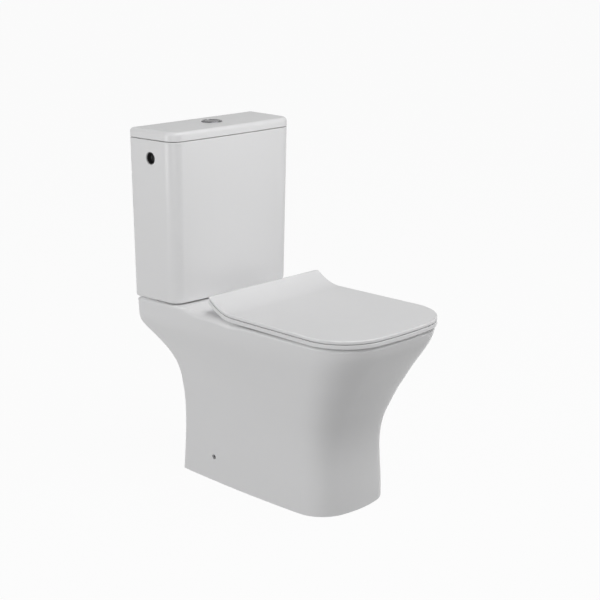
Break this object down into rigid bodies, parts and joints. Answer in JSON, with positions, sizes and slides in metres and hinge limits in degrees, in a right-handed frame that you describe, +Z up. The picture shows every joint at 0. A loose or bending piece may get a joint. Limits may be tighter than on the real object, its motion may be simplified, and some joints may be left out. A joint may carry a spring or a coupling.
{
  "type": "close coupled toilet",
  "caption": "Floor-standing flush toilet: flared hollow ceramic pan with a boxy cistern on its rear shelf, slim soft-close seat and lid, dual flush button and internal valves.",
  "frame": {"origin": "centre of the bounding box's base, on the floor", "axes": "+Z up, +Y towards the wall behind the cistern, +X to the right of someone who faces the toilet"},
  "size_m": [0.375, 0.6524, 0.8055],
  "materials": {
    "glazed_ceramic": "glossy white glaze",
    "seat_plastic": "glossy white moulded thermoset",
    "chrome": "polished",
    "steel": "zinc plated",
    "black_rubber": "matt",
    "black_plastic": "moulded",
    "white_plastic": "moulded",
    "grey_plastic": "moulded",
    "nylon": "moulded"
  },
  "bodies": {
    "base": {"pan": "glazed_ceramic", "cistern_tank": "glazed_ceramic", "coupling_seal": "black_rubber", "tank_washer_left": "black_rubber", "tank_washer_right": "black_rubber", "tank_bolt_left": "steel", "tank_bolt_right": "steel", "pan_washer_left": "black_rubber", "pan_washer_right": "black_rubber", "tank_wing_nut_left": "steel", "tank_wing_nut_right": "steel", "flush_valve_washer": "black_rubber", "flush_valve_base": "white_plastic", "flush_valve_nut": "white_plastic", "flush_valve_tower": "white_plastic", "fill_valve_washer": "black_rubber", "fill_valve_tube": "white_plastic", "fill_valve_nut": "white_plastic", "fill_valve_head": "black_plastic", "inlet_plug_left": "black_plastic", "inlet_plug_right": "black_plastic", "hinge_post_left": "chrome", "hinge_post_right": "chrome", "hinge_pin_left": "steel", "hinge_pin_right": "steel", "seat_bolt_left": "steel", "seat_bolt_right": "steel", "seat_bush_left": "black_rubber", "seat_bush_right": "black_rubber", "seat_nut_left": "white_plastic", "seat_nut_right": "white_plastic", "floor_bracket_left": "nylon", "floor_bracket_right": "nylon", "side_screw_left": "black_plastic", "side_screw_right": "black_plastic", "floor_screw_left": "steel", "floor_screw_right": "steel"},
    "seat_ring_body": {"seat_ring": "seat_plastic", "ring_damper_left": "black_plastic", "ring_damper_right": "black_plastic", "ring_buffer_front_left": "black_rubber", "ring_buffer_front_right": "black_rubber", "ring_buffer_rear_left": "black_rubber", "ring_buffer_rear_right": "black_rubber"},
    "seat_lid_body": {"seat_lid": "seat_plastic", "lid_damper_left": "black_plastic", "lid_damper_right": "black_plastic", "lid_buffer_left": "black_rubber", "lid_buffer_right": "black_rubber"},
    "cistern_lid_body": {"cistern_lid": "glazed_ceramic", "button_bezel": "chrome", "button_nut": "white_plastic"},
    "full_flush": {"full_flush_button": "chrome", "full_flush_rod": "white_plastic"},
    "half_flush": {"half_flush_button": "chrome", "half_flush_rod": "white_plastic"},
    "flush_piston": {"overflow_tube": "grey_plastic", "flush_seal": "black_rubber"},
    "float": {"float_cup": "white_plastic"}
  },
  "joints": [
    {"name": "seat_ring_hinge", "type": "hinge", "parent": "base", "child": "seat_ring_body", "pos_m": [0, 0.08525, 0.434], "axis": [-1, 0, 0], "range_deg": [0, 98]},
    {"name": "seat_lid_hinge", "type": "hinge", "parent": "seat_ring_body", "child": "seat_lid_body", "pos_m": [0, 0.08525, 0.434], "axis": [1, 0, 0], "range_deg": [-102, 0]},
    {"name": "cistern_lid_lift", "type": "slide", "parent": "base", "child": "cistern_lid_body", "axis": [0, 0, 1], "range_m": [0, 0.15]},
    {"name": "full_flush_press", "type": "slide", "parent": "cistern_lid_body", "child": "full_flush", "axis": [0, 0, -1], "range_m": [0, 0.008], "stiffness_N_per_m": 300, "springref_m": -0.004},
    {"name": "half_flush_press", "type": "slide", "parent": "cistern_lid_body", "child": "half_flush", "axis": [0, 0, -1], "range_m": [0, 0.008], "stiffness_N_per_m": 300, "springref_m": -0.004},
    {"name": "flush_piston_lift", "type": "slide", "parent": "base", "child": "flush_piston", "axis": [0, 0, 1], "range_m": [0, 0.016]},
    {"name": "float_rise", "type": "slide", "parent": "base", "child": "float", "axis": [0, 0, 1], "range_m": [0, 0.045]}
  ],
  "couplings": [
    {"joint": "flush_piston_lift", "follows": "full_flush_press", "ratio": 2}
  ]
}
